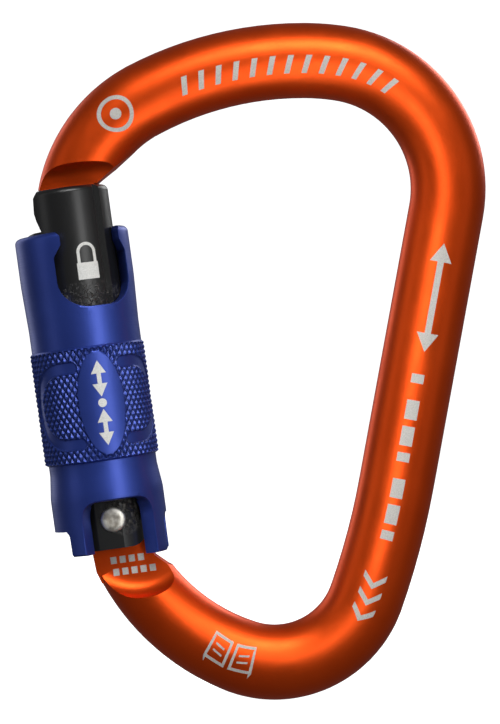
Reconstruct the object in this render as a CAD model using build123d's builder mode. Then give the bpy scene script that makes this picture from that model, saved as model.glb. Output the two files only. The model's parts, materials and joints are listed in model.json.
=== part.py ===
from build123d import *
import os
from math import asin, cos, degrees, radians, sin, tan

# Locking carabiner: pear-shaped alloy frame, swinging gate and a sleeve that slides and twists on the gate.
# Frame: the carabiner lies in XZ, +Z up along the load line, Y across its thickness.
# The origin is the inside of the upper basket, where the rope or anchor bears.

# ---- frame bar ----
BAR_WIDTH = 13.15           # in the plane of the carabiner
BAR_DEPTH = 11.2            # across it
TOP_CENTRE = (0, BAR_WIDTH / 2)  # bar centre line over the origin, X and Z
BROW_RADIUS = 44.0          # gentle start of the top corner
BROW_TURN = 8.4
CORNER_RADIUS = 22.2        # top corner into the spine
SPINE_TILT = 10.35
SPINE_LENGTH = 48.4
SPINE_FOOT_RADIUS = 131.0
SPINE_FOOT_TURN = 9.0
BASKET_RADIUS = 17.05       # lower corner
BASKET_TURN = 90.2
LOWER_ARM_RADIUS = 36.4
LOWER_ARM_TURN = 41.7
TANG_WIDTH = 11.9           # the bar narrows to this at the hinge end
UPPER_ARM_RADIUS = 59.8
UPPER_ARM_TURN = 27.8
NOSE_RADIUS = 24.0
NOSE_TURN = 52.0
NOSE_WIDTH = 12.4           # and to this at the nose

# ---- gate axis ----
PIVOT = (-33.0, -73.4)      # rivet centre, X and Z
PIVOT_OFFSET = 0.75         # the rivet stands this far to the spine side of the gate axis
GATE_TILT = 7.9             # the gate's top leans away from the spine
PLAY = 0.2                  # gap between turning or sliding faces
AXLE_PLAY = 0.05            # running fit of the rivet

# ---- gate, heights measured up the gate axis from the rivet ----
HEAD_RADIUS = 7.45
HEAD_BOTTOM = 37.0
HEAD_TOP = 58.0
HEAD_OUTER_FLAT = 5.6       # outer side of the head above the sleeve
CHEEK_EDGE = 5.0            # the front and back cheeks step down beyond this
CHEEK_STEP = 4.3
BARREL_RADIUS = 5.0
COLLAR_BOTTOM = 7.0
COLLAR_TOP = 10.2
COLLAR_RADIUS = 7.45
HINGE_RADIUS = 6.15
HINGE_BOTTOM = -5.1
HINGE_CORNER = 2.6
EAR_FACE = 5.75             # flat outer face of each hinge ear
CLEVIS_HALF = 2.55
CLEVIS_TOP = 6.3
EARS_TOP = 5.5              # the flat ear faces run into the collar here
EDGE_ROUND = 1.0
# Underside bevel of the head's outer flat: distance in from the flat and height.
HEAD_BEVEL = ((2.2, 59.0), (0.9, 57.8), (0.2, 56.8), (0, 54.2), (0.25, 52.9), (0.6, 51.8), (0.9, 50.9))

# ---- nose and its slot: radii measured from the rivet ----
NOSE_HALF = 2.1
BULB_HALF = 4.2
BULB_INNER = 51.75
BULB_OUTER = 54.9
BULB_LEFT = 6.1             # how far the nose reaches to the outer side of the rivet
NECK_LEFT = 4.9
NECK_RIGHT = 4.6
BULB_RIGHT = 1.4
HEAD_CLEARANCE = 58.5
NECK_LAP = 0.5              # the neck runs this far into the bulb and the bar
SLOT_PLAY = 0.4
SWING_ROOM = 14.0           # degrees either side of the axis kept clear for the head
SWING_ROOM_INNER = 30.0
NOSE_COVE = 3.6
# Relief on the inner side of the nose: arc through three points, then out round the bar.
RELIEF_ARC = ((5.4, 58.0), (9.3, 60.5), (17.0, 65.2))
RELIEF_CORNERS = ((22.0, 58.0), (12.0, 50.0))

# ---- tang at the hinge ----
TANG_HALF = 2.3
CAM_RADIUS = 4.0
CAM_OFFSET = 1.2
EYE_RADIUS = 3.8
TANG_TOP = 6.0
TANG_REACH = 14.0
# Edges of the blade from the eye down to the bar, measured from the rivet.
TANG_INNER_EDGE = ((4.5, -3.6), (5.2, -5.3), (6.2, -7.4))
TANG_INNER_END = ((8.2, -9.2), (14.0, -12.0))
TANG_OUTER_EDGE = ((-3.7, 0.8), (-4.6, -5.0), (-4.3, -9.0), (-3.6, -11.0), (2.0, -11.5))
SCOOP_CENTRE = (4.3, -1.9)
SCOOP_RADIUS = 8.8
SCOOP_COVE = 3.5

# ---- rivet ----
RIVET_RADIUS = 1.6
RIVET_HEAD_RADIUS = 2.2
RIVET_HEAD_SEAT = 4.6
RIVET_END = 6.3
RIVET_TAPER = 6.0

# ---- plunger and gate spring ----
PLUNGER_RADIUS = 1.7
PLUNGER_TIP = 4.15
PLUNGER_TOP = 12.0
PLUNGER_EDGE = 0.3
BORE_CLEARANCE = 0.08
BORE_TOP = 32.0
GATE_SPRING_RADIUS = 1.2
GATE_SPRING_WIRE = 0.25     # radius of the wire
GATE_SPRING_PITCH = 1.3
SPRING_GAP = 0.05           # between a spring's end and its seat

# ---- sleeve, heights up the gate axis ----
SLEEVE_BORE = 7.65
SKIRT_BORE = 7.1            # thicker wall round the hinge
SKIRT_TOP = 2.6
SLEEVE_BOTTOM = -6.7
SLEEVE_TOP = 50.4
SLEEVE_RADIUS = 9.95
SKIRT_RADIUS = 9.9
LOW_WAIST_RADIUS = 9.42
HIGH_WAIST_RADIUS = 9.65
GRIP_RADIUS = 10.05
GRIP_BOTTOM = 10.5
GRIP_TOP = 30.0
LIP_RADIUS = 6.8
LIP_BOTTOM = 26.4
LIP_TOP = 27.8
GROOVE_RADIUS = 8.15
GROOVE_BOTTOM = 31.4
GROOVE_TOP = 32.2
WINDOW_ANGLE = 25.0         # round the axis from the front face, towards the spine
WINDOW_HALF = 6.55
WINDOW_FLOOR = 37.0
WINDOW_CORNER = 4.7
WINDOW_BEND = 0.9
BULGE_TOP = 46.0
THROAT_HALF = 5.35
THROAT_BOTTOM = 48.0
HORN_ROUND = 0.8
ARCH_ANGLE = 13.0
ARCH_HALF_ANGLE = 38.8
ARCH_TOP = 3.4
ARCH_ROUND = 3.2
SIDE_SLOT_HALF = 2.9
SIDE_SLOT_TOP = -0.4
OUTER_STEP = -1.4           # the skirt stops here on the outer side
OUTER_STEP_HALF_ANGLE = 45.0
FRONT_LEG_BOTTOM = -5.5
FRONT_LEG_ANGLE = -36.0
FRONT_LEG_HALF_ANGLE = 18.0
SKIRT_CUTS = (5.0, 12.0)    # distances from the axis where the arch and step outlines are drawn
SKIRT_CUT_FLOOR = -12.0
STEP_ROUND = 0.7
SIDE_SLOT_ROUND = 1.2
SKIRT_TAPER_FROM = 4.5
LOW_WAIST_FROM = 8.6
HIGH_WAIST_TO = 34.0
RIM_FLARE_TO = 42.0
GRIP_EDGE = 0.2
SKIRT_EDGE = 0.4

# ---- slider ring, guide pin, snap ring, torsion spring ----
RING_BOTTOM = 28.0
RING_TOP = 31.2
RING_INNER = 5.25
RING_OUTER = 7.45
RING_EDGE = 0.25
GUIDE_PIN_RADIUS = 0.7
GUIDE_PIN_HEIGHT = 29.6
GUIDE_PIN_INNER = 4.35
GUIDE_PIN_OUTER = 7.2
GUIDE_SLOT_HALF = 0.85
GUIDE_SLOT_FLOOR = 4.1
SLEEVE_LIFT = 4.2
SNAP_INNER = 6.9
SNAP_GAP = 40.0
SNAP_THICKNESS = 0.6
SNAP_PLAY = 0.1
TORSION_RADIUS = 5.95
TORSION_WIRE = 0.4          # radius of the wire
TORSION_PITCH = 1.5
TORSION_BOTTOM = 10.75
TORSION_TURNS = 10.5

BIG = 80.0                  # longer than any piece, for cutting tools
# Local frame of the gate: x towards the spine, y to the back, z up the gate axis, level with the rivet.
SPINEWARD = Vector(cos(radians(GATE_TILT)), 0, sin(radians(GATE_TILT)))
UPWARD = Vector(-sin(radians(GATE_TILT)), 0, cos(radians(GATE_TILT)))
RIVET = Vector(PIVOT[0], 0, PIVOT[1])
GATE = Plane(origin=RIVET - SPINEWARD * PIVOT_OFFSET, x_dir=SPINEWARD, z_dir=UPWARD)
GATE_AXIS = Axis(GATE.origin, GATE.z_dir)
ACROSS = Axis(RIVET, (0, 1, 0))


def level(height):
    """A plane square to the gate axis."""
    return GATE.offset(height)


def side_view():
    """A plane through the gate axis in the plane of the carabiner: x towards the spine, y up the axis."""
    return Plane(origin=GATE.origin, x_dir=GATE.x_dir, z_dir=(0, -1, 0))


def rivet_view():
    """The same plane, with its origin at the rivet."""
    return Plane(origin=RIVET, x_dir=GATE.x_dir, z_dir=(0, -1, 0))


def facing(angle):
    """A plane through the gate axis that faces a direction round it: 0 is the front, 90 the spine side."""
    turn = radians(angle)
    sideways = GATE.x_dir * cos(turn) + GATE.y_dir * sin(turn)
    outward = GATE.x_dir * sin(turn) - GATE.y_dir * cos(turn)
    return Plane(origin=GATE.origin, x_dir=sideways, z_dir=outward)


def swing_plane(angle):
    """A plane through the rivet's axis: x away from the rivet, y to the back, turned from the gate axis."""
    lean = radians(angle - GATE_TILT)
    outward = (sin(lean), 0, cos(lean))
    return Plane(origin=RIVET, x_dir=outward, z_dir=(-outward[2], 0, outward[0]))


def nose_angle(offset, radius):
    """The swing angle of a point this far to one side of the gate axis."""
    return degrees(asin(offset / radius))


def swept_ring(profile_box, start, end):
    """A ring segment about the rivet: profile_box is inner and outer radius and two Y values."""
    inner, outer, back, front = profile_box
    with BuildPart() as ring:
        with BuildSketch(swing_plane(start)):
            with Locations(((inner + outer) / 2, (back + front) / 2)):
                Rectangle(outer - inner, abs(front - back))
        revolve(axis=ACROSS, revolution_arc=end - start)
    return ring.part


# ---------------------------------------------------------------- body
def nose_cove():
    """The hollows on both faces of the bar above the gate, for the gate's head to pass."""
    centre = NOSE_HALF + NOSE_COVE
    with BuildPart() as cove:
        with BuildSketch(swing_plane(-SWING_ROOM)):
            for side in (1, -1):
                with Locations((HEAD_CLEARANCE, side * centre)):
                    Circle(NOSE_COVE)
                with Locations((HEAD_CLEARANCE - NOSE_COVE, side * (centre + NOSE_HALF))):
                    Rectangle(2 * NOSE_COVE, 2 * centre)
        revolve(axis=ACROSS, revolution_arc=2 * SWING_ROOM)
    return cove.part


def tang_scoop():
    """The hollows on both faces of the lower arm, for the hinge ears and the sleeve to pass."""
    centre = GATE.from_local_coords(Vector(SCOOP_CENTRE[0], 0, SCOOP_CENTRE[1]))
    turning = Axis(centre, (0, 1, 0))
    flat_edge = TANG_HALF + SCOOP_COVE
    with BuildPart() as scoop:
        with BuildSketch(Plane(origin=centre, x_dir=(1, 0, 0), z_dir=(0, 0, 1))):
            for side in (1, -1):
                with Locations((SCOOP_RADIUS / 2, side * (TANG_HALF + BAR_DEPTH / 2))):
                    Rectangle(SCOOP_RADIUS, BAR_DEPTH)
                with Locations((SCOOP_RADIUS, side * flat_edge)):
                    Circle(SCOOP_COVE)
            with Locations((-SCOOP_RADIUS, 0)):
                Rectangle(2 * SCOOP_RADIUS, BIG, mode=Mode.SUBTRACT)
        revolve(axis=turning)
    return scoop.part


scoop = tang_scoop()
cove = nose_cove()
swing_room = swept_ring((SWING_ROOM_INNER, HEAD_CLEARANCE, -BIG / 4, BIG / 4), -SWING_ROOM, SWING_ROOM)
neck_box = (BULB_OUTER - NECK_LAP, HEAD_CLEARANCE + NECK_LAP, -NOSE_HALF, NOSE_HALF)
neck = swept_ring(neck_box, -nose_angle(NECK_LEFT, HEAD_CLEARANCE), nose_angle(NECK_RIGHT, HEAD_CLEARANCE))
bulb_box = (BULB_INNER, BULB_OUTER, -BULB_HALF, BULB_HALF)
bulb = swept_ring(bulb_box, -nose_angle(BULB_LEFT, BULB_OUTER), nose_angle(BULB_RIGHT, BULB_OUTER))

with BuildPart() as body:
    # The bar, swept along one chain of tangent arcs and the straight spine.
    with BuildLine(Plane.XZ) as bar_line:
        brow = JernArc(TOP_CENTRE, (1, 0), BROW_RADIUS, -BROW_TURN)
        corner = JernArc(brow @ 1, brow % 1, CORNER_RADIUS, BROW_TURN - 90 - SPINE_TILT)
        spine = Line(corner @ 1, corner @ 1 + (corner % 1) * SPINE_LENGTH)
        foot = JernArc(spine @ 1, spine % 1, SPINE_FOOT_RADIUS, -SPINE_FOOT_TURN)
        basket = JernArc(foot @ 1, foot % 1, BASKET_RADIUS, -BASKET_TURN)
        upper_arm = JernArc(TOP_CENTRE, (-1, 0), UPPER_ARM_RADIUS, UPPER_ARM_TURN)
    bar_start = Plane(origin=basket @ 1, x_dir=(0, 1, 0), z_dir=basket % 1)
    with BuildSketch(bar_start):
        Ellipse(BAR_DEPTH / 2, BAR_WIDTH / 2)
    sweep(path=bar_line.wires()[0])
    # The lower arm and the nose narrow towards the gate.
    for joined, radius, turn, width in (
        (basket, LOWER_ARM_RADIUS, -LOWER_ARM_TURN, TANG_WIDTH),
        (upper_arm, NOSE_RADIUS, NOSE_TURN, NOSE_WIDTH),
    ):
        with BuildLine(Plane.XZ) as arm_line:
            arm = JernArc(joined @ 1, joined % 1, radius, turn)
        with BuildSketch(Plane(origin=arm @ 0, x_dir=(0, 1, 0), z_dir=arm % 0)):
            Ellipse(BAR_DEPTH / 2, BAR_WIDTH / 2)
        with BuildSketch(Plane(origin=arm @ 1, x_dir=(0, 1, 0), z_dir=arm % 1)):
            Ellipse(BAR_DEPTH / 2, width / 2)
        sweep(path=arm_line.wires()[0], multisection=True)

    # The tang: a flat blade with an eye for the rivet and a cam that works the plunger.
    add(scoop, mode=Mode.SUBTRACT)
    with BuildSketch(rivet_view()):
        Polygon(
            (TANG_INNER_EDGE[0][0], TANG_TOP), *TANG_INNER_EDGE, *TANG_INNER_END, (TANG_REACH, TANG_TOP),
            align=None,
        )
    extrude(amount=BIG / 4, both=True, mode=Mode.SUBTRACT)
    with BuildSketch(rivet_view()):
        Circle(EYE_RADIUS)
        with Locations((CAM_OFFSET, 0)):
            Circle(CAM_RADIUS)
        Polygon(*TANG_OUTER_EDGE, *reversed(TANG_INNER_EDGE), (CAM_OFFSET, 0), align=None)
    extrude(amount=TANG_HALF, both=True)

    # The nose: the bar is cut back to clear the gate's head, and a keyed blade reaches down into it.
    add(swing_room, mode=Mode.SUBTRACT)
    add(cove, mode=Mode.SUBTRACT)
    add(neck)
    add(bulb)
    # The inner side of the nose is relieved where the gate's head swings in.
    with BuildSketch(side_view()):
        with BuildLine():
            ThreePointArc(*RELIEF_ARC)
            Polyline(RELIEF_ARC[2], *RELIEF_CORNERS, RELIEF_ARC[0])
        make_face()
    extrude(amount=BIG / 4, both=True, mode=Mode.SUBTRACT)

    # The eye for the rivet.
    with BuildSketch(rivet_view()):
        Circle(RIVET_RADIUS + AXLE_PLAY)
    extrude(amount=BIG / 4, both=True, mode=Mode.SUBTRACT)
body.part.label = "body"


# ---------------------------------------------------------------- gate
neck_half = NOSE_HALF + SLOT_PLAY
neck_box = (BULB_OUTER - NECK_LAP - SLOT_PLAY, HEAD_CLEARANCE + 1, -neck_half, neck_half)
neck_slot = swept_ring(neck_box, -SWING_ROOM, nose_angle(NECK_RIGHT + SLOT_PLAY, HEAD_CLEARANCE))
key_half = BULB_HALF + SLOT_PLAY
key_box = (BULB_INNER - SLOT_PLAY, BULB_OUTER + SLOT_PLAY, -key_half, key_half)
key_slot = swept_ring(key_box, -SWING_ROOM, nose_angle(BULB_RIGHT + SLOT_PLAY, BULB_OUTER))

with BuildPart() as gate:
    with BuildSketch(level(HEAD_BOTTOM)):
        Circle(HEAD_RADIUS)
    extrude(amount=HEAD_TOP - HEAD_BOTTOM)
    fillet(gate.edges().sort_by(GATE_AXIS)[-1], EDGE_ROUND)
    # The cheeks step down on the spine side.
    with BuildSketch(level(HEAD_BOTTOM)):
        for side in (1, -1):
            with Locations((CHEEK_EDGE + HEAD_RADIUS / 2, side * (CHEEK_STEP + HEAD_RADIUS / 2))):
                Rectangle(HEAD_RADIUS, HEAD_RADIUS)
    extrude(amount=HEAD_TOP - HEAD_BOTTOM, mode=Mode.SUBTRACT)
    # Above the sleeve the outer side of the head is cut back and bevelled underneath, which shows the nose.
    with BuildSketch(side_view()):
        bevel = [(inset - HEAD_OUTER_FLAT, height) for inset, height in HEAD_BEVEL]
        Polygon((-2 * HEAD_RADIUS, bevel[0][1]), *bevel, (-2 * HEAD_RADIUS, bevel[-1][1]), align=None)
    extrude(amount=BIG / 4, both=True, mode=Mode.SUBTRACT)
    # Barrel, collar and hinge end.
    with BuildSketch(level(COLLAR_BOTTOM)):
        Circle(BARREL_RADIUS)
    extrude(amount=HEAD_BOTTOM - COLLAR_BOTTOM)
    with BuildSketch(level(COLLAR_BOTTOM)):
        Circle(COLLAR_RADIUS)
    extrude(amount=COLLAR_TOP - COLLAR_BOTTOM)
    with BuildSketch(level(HINGE_BOTTOM)):
        Circle(HINGE_RADIUS)
    extrude(amount=COLLAR_BOTTOM - HINGE_BOTTOM)
    # The hinge end is rounded at its corners and flat on both faces.
    with BuildSketch(side_view()):
        with Locations((0, HINGE_BOTTOM)):
            Rectangle(4 * HINGE_RADIUS, 2 * HINGE_CORNER)
        with Locations((0, HINGE_BOTTOM + HINGE_RADIUS)):
            RectangleRounded(2 * HINGE_RADIUS, 2 * HINGE_RADIUS, HINGE_CORNER, mode=Mode.SUBTRACT)
    extrude(amount=BIG / 4, both=True, mode=Mode.SUBTRACT)
    with BuildSketch(level(HINGE_BOTTOM)):
        for side in (1, -1):
            with Locations((0, side * (EAR_FACE + HINGE_RADIUS / 2))):
                Rectangle(4 * HINGE_RADIUS, HINGE_RADIUS)
    extrude(amount=EARS_TOP - HINGE_BOTTOM, mode=Mode.SUBTRACT)
    # Clevis for the tang.
    with BuildSketch(level(-2 * HINGE_RADIUS)):
        Rectangle(BIG / 4, 2 * CLEVIS_HALF)
    extrude(amount=2 * HINGE_RADIUS + CLEVIS_TOP, mode=Mode.SUBTRACT)
    # Spring bore up the middle.
    with BuildSketch(level(0)):
        Circle(PLUNGER_RADIUS + BORE_CLEARANCE)
    extrude(amount=BORE_TOP, mode=Mode.SUBTRACT)
    # Guide slot in the back of the barrel.
    with BuildSketch(level(GUIDE_PIN_HEIGHT - GUIDE_SLOT_HALF - PLAY)):
        with Locations((0, GUIDE_SLOT_FLOOR + HEAD_RADIUS / 2)):
            Rectangle(2 * GUIDE_SLOT_HALF, HEAD_RADIUS)
    extrude(amount=SLEEVE_LIFT + 2 * (GUIDE_SLOT_HALF + PLAY), mode=Mode.SUBTRACT)
    # Keyhole slot for the nose, open on the outer side.
    add(neck_slot, mode=Mode.SUBTRACT)
    add(key_slot, mode=Mode.SUBTRACT)
    # Rivet holes with seats for its heads.
    with BuildSketch(rivet_view()):
        Circle(RIVET_RADIUS)
    extrude(amount=BIG / 4, both=True, mode=Mode.SUBTRACT)
    for side in (1, -1):
        with BuildSketch(rivet_view().offset(side * RIVET_HEAD_SEAT)):
            Circle(RIVET_HEAD_RADIUS)
        extrude(amount=side * BIG / 8, mode=Mode.SUBTRACT)
gate.part.label = "gate"


# ---------------------------------------------------------------- hinge rivet
with BuildPart() as hinge_rivet:
    with BuildSketch(rivet_view()):
        Circle(RIVET_RADIUS)
    extrude(amount=RIVET_END - EDGE_ROUND, both=True)
    for side in (1, -1):
        with BuildSketch(rivet_view().offset(side * RIVET_HEAD_SEAT)):
            Circle(RIVET_HEAD_RADIUS)
        extrude(amount=side * (RIVET_END - RIVET_HEAD_SEAT), taper=RIVET_TAPER)
hinge_rivet.part.label = "hinge_rivet"


# ---------------------------------------------------------------- plunger and its spring
with BuildPart() as gate_plunger:
    with BuildSketch(level(PLUNGER_TIP)):
        Circle(PLUNGER_RADIUS)
    extrude(amount=PLUNGER_TOP - PLUNGER_TIP)
    chamfer(gate_plunger.edges().filter_by(GeomType.CIRCLE), PLUNGER_EDGE)
gate_plunger.part.label = "gate_plunger"


def coil_line(bottom, pitch, turns, radius):
    """The centre line of a helical spring on the gate axis."""
    start = GATE.from_local_coords(Vector(0, 0, bottom))
    return Helix(pitch=pitch, height=pitch * turns, radius=radius, center=start, direction=GATE.z_dir)


spring_bottom = PLUNGER_TOP + GATE_SPRING_WIRE + SPRING_GAP
spring_turns = (BORE_TOP - GATE_SPRING_WIRE - SPRING_GAP - spring_bottom) / GATE_SPRING_PITCH
gate_spring_line = coil_line(spring_bottom, GATE_SPRING_PITCH, spring_turns, GATE_SPRING_RADIUS)
with BuildPart() as gate_spring:
    with BuildSketch(Plane(origin=gate_spring_line @ 0, z_dir=gate_spring_line % 0)):
        Circle(GATE_SPRING_WIRE)
    sweep(path=gate_spring_line, is_frenet=True)
gate_spring.part.label = "gate_spring"


# ---------------------------------------------------------------- spring that turns the sleeve back
sleeve_spring_line = coil_line(TORSION_BOTTOM, TORSION_PITCH, TORSION_TURNS, TORSION_RADIUS)
with BuildPart() as sleeve_spring:
    with BuildSketch(Plane(origin=sleeve_spring_line @ 0, z_dir=sleeve_spring_line % 0)):
        Circle(TORSION_WIRE)
    sweep(path=sleeve_spring_line, is_frenet=True)
sleeve_spring.part.label = "sleeve_spring"


# ---------------------------------------------------------------- locking sleeve
with BuildPart() as locking_sleeve:
    with BuildSketch(side_view()):
        with BuildLine():
            Polyline(
                (SKIRT_BORE, SLEEVE_BOTTOM), (SKIRT_RADIUS - SKIRT_EDGE, SLEEVE_BOTTOM),
                (SKIRT_RADIUS, SLEEVE_BOTTOM + SKIRT_EDGE), (SKIRT_RADIUS, SKIRT_TAPER_FROM),
                (LOW_WAIST_RADIUS, LOW_WAIST_FROM), (LOW_WAIST_RADIUS, GRIP_BOTTOM - GRIP_EDGE),
                (GRIP_RADIUS, GRIP_BOTTOM + GRIP_EDGE), (GRIP_RADIUS, GRIP_TOP - GRIP_EDGE),
                (HIGH_WAIST_RADIUS, GRIP_TOP + GRIP_EDGE), (HIGH_WAIST_RADIUS, HIGH_WAIST_TO),
                (SLEEVE_RADIUS, RIM_FLARE_TO), (SLEEVE_RADIUS, SLEEVE_TOP - EDGE_ROUND),
            )
            rim = (SLEEVE_RADIUS, SLEEVE_TOP - EDGE_ROUND)
            RadiusArc(rim, (SLEEVE_RADIUS - EDGE_ROUND, SLEEVE_TOP), -EDGE_ROUND)
            Polyline(
                (SLEEVE_RADIUS - EDGE_ROUND, SLEEVE_TOP), (SLEEVE_BORE, SLEEVE_TOP),
                (SLEEVE_BORE, GROOVE_TOP), (GROOVE_RADIUS, GROOVE_TOP), (GROOVE_RADIUS, GROOVE_BOTTOM),
                (SLEEVE_BORE, GROOVE_BOTTOM), (SLEEVE_BORE, LIP_TOP), (LIP_RADIUS, LIP_TOP),
                (LIP_RADIUS, LIP_BOTTOM), (SLEEVE_BORE, LIP_BOTTOM), (SLEEVE_BORE, SKIRT_TOP),
                (SKIRT_BORE, SKIRT_TOP), (SKIRT_BORE, SLEEVE_BOTTOM),
            )
        make_face()
    revolve(axis=GATE_AXIS)
    # Two windows, half a turn apart.
    for turn in (0, 180):
        with BuildSketch(facing(WINDOW_ANGLE + turn)) as window:
            with BuildLine():
                # A round-bottomed bulge with a narrower throat, open at the rim.
                Polyline(
                    (0, SLEEVE_TOP + 2), (THROAT_HALF + HORN_ROUND, SLEEVE_TOP + 2),
                    (THROAT_HALF + HORN_ROUND, SLEEVE_TOP), (THROAT_HALF, SLEEVE_TOP - HORN_ROUND),
                    (THROAT_HALF, THROAT_BOTTOM), (WINDOW_HALF, BULGE_TOP), (WINDOW_HALF, WINDOW_FLOOR),
                    (0, WINDOW_FLOOR),
                )
                mirror(about=Plane.YZ)
            make_face()
            floor_ends = window.vertices().filter_by_position(Axis.Y, WINDOW_FLOOR, WINDOW_FLOOR)
            fillet(floor_ends, WINDOW_CORNER)
            bends = window.vertices().filter_by_position(Axis.Y, BULGE_TOP, SLEEVE_TOP - HORN_ROUND)
            fillet(bends, WINDOW_BEND)
        extrude(amount=SLEEVE_RADIUS + 1, mode=Mode.SUBTRACT)
    # Arches over the hinge, front and back, flaring outwards.
    for turn in (0, 180):
        for depth in SKIRT_CUTS:
            with BuildSketch(facing(ARCH_ANGLE + turn).offset(depth)) as arch:
                with Locations((0, (ARCH_TOP + SKIRT_CUT_FLOOR) / 2)):
                    Rectangle(2 * depth * tan(radians(ARCH_HALF_ANGLE)), ARCH_TOP - SKIRT_CUT_FLOOR)
                fillet(arch.vertices().group_by(Axis.Y)[-1], ARCH_ROUND)
        loft(mode=Mode.SUBTRACT)
    # Slot for the tang on the spine side.
    with BuildSketch(facing(90)):
        with Locations((0, SIDE_SLOT_TOP + SKIRT_CUT_FLOOR / 2)):
            RectangleRounded(2 * SIDE_SLOT_HALF, -SKIRT_CUT_FLOOR, SIDE_SLOT_ROUND)
    extrude(amount=SLEEVE_RADIUS + 1, mode=Mode.SUBTRACT)
    # The skirt is shorter on the outer side, and a little shorter on the leg beside it.
    for angle, half_angle, top in (
        (-90, OUTER_STEP_HALF_ANGLE, OUTER_STEP),
        (FRONT_LEG_ANGLE, FRONT_LEG_HALF_ANGLE, FRONT_LEG_BOTTOM),
    ):
        for depth in SKIRT_CUTS:
            with BuildSketch(facing(angle).offset(depth)) as step:
                with Locations((0, (top + SKIRT_CUT_FLOOR) / 2)):
                    Rectangle(2 * depth * tan(radians(half_angle)), top - SKIRT_CUT_FLOOR)
                fillet(step.vertices().group_by(Axis.Y)[-1], STEP_ROUND)
        loft(mode=Mode.SUBTRACT)
locking_sleeve.part.label = "locking_sleeve"


# ---------------------------------------------------------------- slider ring, guide pin, snap ring
with BuildPart() as slider_ring:
    with BuildSketch(level(RING_BOTTOM)):
        Circle(RING_OUTER)
        Circle(RING_INNER, mode=Mode.SUBTRACT)
    extrude(amount=RING_TOP - RING_BOTTOM)
    chamfer(slider_ring.edges().filter_by(GeomType.CIRCLE), RING_EDGE)
    with BuildSketch(facing(180).offset(GUIDE_PIN_INNER)):
        with Locations((0, GUIDE_PIN_HEIGHT)):
            Circle(GUIDE_PIN_RADIUS)
    extrude(amount=BIG / 8, mode=Mode.SUBTRACT)
slider_ring.part.label = "slider_ring"

with BuildPart() as guide_pin:
    with BuildSketch(facing(180).offset(GUIDE_PIN_INNER)):
        with Locations((0, GUIDE_PIN_HEIGHT)):
            Circle(GUIDE_PIN_RADIUS)
    extrude(amount=GUIDE_PIN_OUTER - GUIDE_PIN_INNER)
guide_pin.part.label = "guide_pin"

with BuildPart() as snap_ring:
    with BuildSketch(level(GROOVE_BOTTOM + SNAP_PLAY)):
        Circle(GROOVE_RADIUS - SNAP_PLAY / 2)
        Circle(SNAP_INNER, mode=Mode.SUBTRACT)
        with BuildLine():
            gap_edge = BIG * tan(radians(SNAP_GAP / 2))
            gap = Polyline((0, 0), (BIG, gap_edge), (BIG, -gap_edge))
            Line(gap @ 1, gap @ 0)
        make_face(mode=Mode.SUBTRACT)
    extrude(amount=SNAP_THICKNESS)
snap_ring.part.label = "snap_ring"


# ---------------------------------------------------------------- write the pieces
os.makedirs("parts", exist_ok=True)
export_step(body.part, "parts/body.step")
export_step(gate.part, "parts/gate.step")
export_step(hinge_rivet.part, "parts/hinge_rivet.step")
export_step(gate_plunger.part, "parts/gate_plunger.step")
export_step(gate_spring.part, "parts/gate_spring.step")
export_step(locking_sleeve.part, "parts/locking_sleeve.step")
export_step(sleeve_spring.part, "parts/sleeve_spring.step")
export_step(slider_ring.part, "parts/slider_ring.step")
export_step(guide_pin.part, "parts/guide_pin.step")
export_step(snap_ring.part, "parts/snap_ring.step")
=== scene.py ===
"""Looks of the locking carabiner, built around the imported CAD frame.

Lengths are in millimetres up to the point where a mesh is made, and in metres in Blender. Sizes that the sleeve,
the rivet and the bar share with the CAD carry the CAD's values.
"""
import json
import math

import bpy
import numpy as np
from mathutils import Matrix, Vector
from mathutils.bvhtree import BVHTree


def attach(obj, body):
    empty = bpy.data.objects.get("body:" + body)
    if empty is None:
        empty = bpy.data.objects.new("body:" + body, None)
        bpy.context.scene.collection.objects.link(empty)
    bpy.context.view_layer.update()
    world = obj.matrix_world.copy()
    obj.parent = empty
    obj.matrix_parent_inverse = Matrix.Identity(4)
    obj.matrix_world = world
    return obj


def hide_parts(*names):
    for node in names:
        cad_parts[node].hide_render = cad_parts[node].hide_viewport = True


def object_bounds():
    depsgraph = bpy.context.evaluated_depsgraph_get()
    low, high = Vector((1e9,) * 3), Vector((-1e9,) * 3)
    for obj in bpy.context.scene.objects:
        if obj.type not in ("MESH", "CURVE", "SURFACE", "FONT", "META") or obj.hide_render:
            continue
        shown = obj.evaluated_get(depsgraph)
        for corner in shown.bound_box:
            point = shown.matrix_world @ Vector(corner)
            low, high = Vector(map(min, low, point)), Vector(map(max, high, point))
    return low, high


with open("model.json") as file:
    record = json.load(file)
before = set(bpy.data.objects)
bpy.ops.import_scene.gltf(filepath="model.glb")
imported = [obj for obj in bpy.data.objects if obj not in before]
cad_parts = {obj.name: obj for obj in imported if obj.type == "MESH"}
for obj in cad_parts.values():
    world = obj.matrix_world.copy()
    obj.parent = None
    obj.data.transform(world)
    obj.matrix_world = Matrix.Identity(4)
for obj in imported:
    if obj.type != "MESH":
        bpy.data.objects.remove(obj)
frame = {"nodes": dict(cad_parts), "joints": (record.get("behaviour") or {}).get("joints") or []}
cad_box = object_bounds()

MM = 0.001

# ---- the gate axis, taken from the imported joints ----
joints = {j["name"]: j for j in frame["joints"]}
RIVET = Vector(joints["gate_hinge"]["pos_m"])
AXIS_POINT = Vector(joints["sleeve_twist"]["pos_m"])
UP = Vector(joints["sleeve_twist"]["axis"]).normalized()
BACK = Vector((0, 1, 0))
SPINEWARD = BACK.cross(UP).normalized()


def on_axis(angle, radius, height):
    """A point round the gate axis: angle 0 is the front, 90 the spine side, in degrees and millimetres."""
    turn = math.radians(angle)
    outward = SPINEWARD * math.sin(turn) - BACK * math.cos(turn)
    return AXIS_POINT + (outward * radius + UP * height) * MM


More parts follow.
